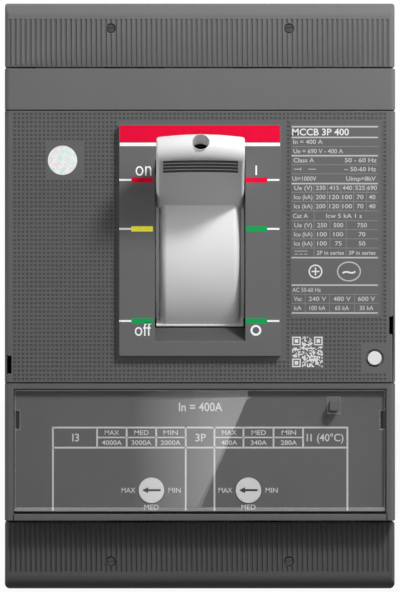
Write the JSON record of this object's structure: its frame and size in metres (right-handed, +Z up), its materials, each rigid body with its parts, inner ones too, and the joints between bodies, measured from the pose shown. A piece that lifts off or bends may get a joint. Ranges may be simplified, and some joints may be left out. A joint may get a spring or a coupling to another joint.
{
  "type": "molded case circuit breaker",
  "caption": "Flat grey molded case circuit breaker with ribbed terminal covers, a textured front, a white toggle lever and a clear flap over the trip settings.",
  "frame": {"origin": "centre of the flat back face that lies on the mounting plate", "axes": "+Y into the mounting plate, so the front looks along -Y; +Z up, towards the line terminals; +X to the right seen from the front"},
  "size_m": [0.14, 0.1288, 0.2102],
  "materials": {
    "case_moulding": "fine matt moulded grain",
    "front_moulding": "matt, with a fine grid texture",
    "escutcheon_moulding": "matt, smooth",
    "terminal_cover_moulding": "matt, ribbed",
    "lever_plastic": "satin white",
    "dial_plastic": "satin white",
    "clear_plastic": "clear, glossy",
    "panel_plastic": "matt, printed",
    "post_plastic": "matt",
    "plated_steel": "zinc plated",
    "blackened_steel": "blackened",
    "tinned_copper": "tin plated copper, satin",
    "plate_label": "printed film"
  },
  "bodies": {
    "case": {"base": "case_moulding", "main_cover": "case_moulding", "front_cover": "front_moulding", "escutcheon": "escutcheon_moulding", "lever_axle": "plated_steel", "trip_unit": "panel_plastic", "trip_frame": "case_moulding", "seal_post": "post_plastic", "upper_terminal_cover": "terminal_cover_moulding", "lower_terminal_cover": "terminal_cover_moulding", "rating_plate": "plate_label", "upper_cover_screw_left": "blackened_steel", "upper_cover_screw_right": "blackened_steel", "lower_cover_screw_left": "blackened_steel", "lower_cover_screw_right": "blackened_steel", "line_terminal_1": "tinned_copper", "load_terminal_1": "tinned_copper", "line_terminal_2": "tinned_copper", "load_terminal_2": "tinned_copper", "line_terminal_3": "tinned_copper", "load_terminal_3": "tinned_copper", "case_screw_1": "plated_steel", "case_screw_2": "plated_steel", "case_screw_3": "plated_steel", "case_screw_4": "plated_steel"},
    "lever": {"lever_handle": "lever_plastic", "lever_yoke": "plated_steel"},
    "flap": {"trip_flap": "clear_plastic"},
    "magnetic_dial": {"magnetic_dial": "dial_plastic"},
    "thermal_dial": {"thermal_dial": "dial_plastic"},
    "test_button": {"test_button": "dial_plastic"}
  },
  "joints": [
    {"name": "lever_swing", "type": "hinge", "parent": "case", "child": "lever", "pos_m": [0, -0.0595, 0.0162], "axis": [1, 0, 0], "range_deg": [0, 59]},
    {"name": "flap_hinge", "type": "hinge", "parent": "case", "child": "flap", "pos_m": [0, -0.0998, -0.0766], "axis": [1, 0, 0], "range_deg": [0, 90]},
    {"name": "magnetic_dial_turn", "type": "hinge", "parent": "case", "child": "magnetic_dial", "pos_m": [-0.0174, -0.0986, -0.0697], "axis": [0, -1, 0], "range_deg": [0, 180]},
    {"name": "thermal_dial_turn", "type": "hinge", "parent": "case", "child": "thermal_dial", "pos_m": [0.0174, -0.0986, -0.0697], "axis": [0, -1, 0], "range_deg": [0, 180]},
    {"name": "test_button_press", "type": "slide", "parent": "case", "child": "test_button", "axis": [0, 1, 0], "range_m": [0, 0.002], "stiffness_N_per_m": 300}
  ]
}
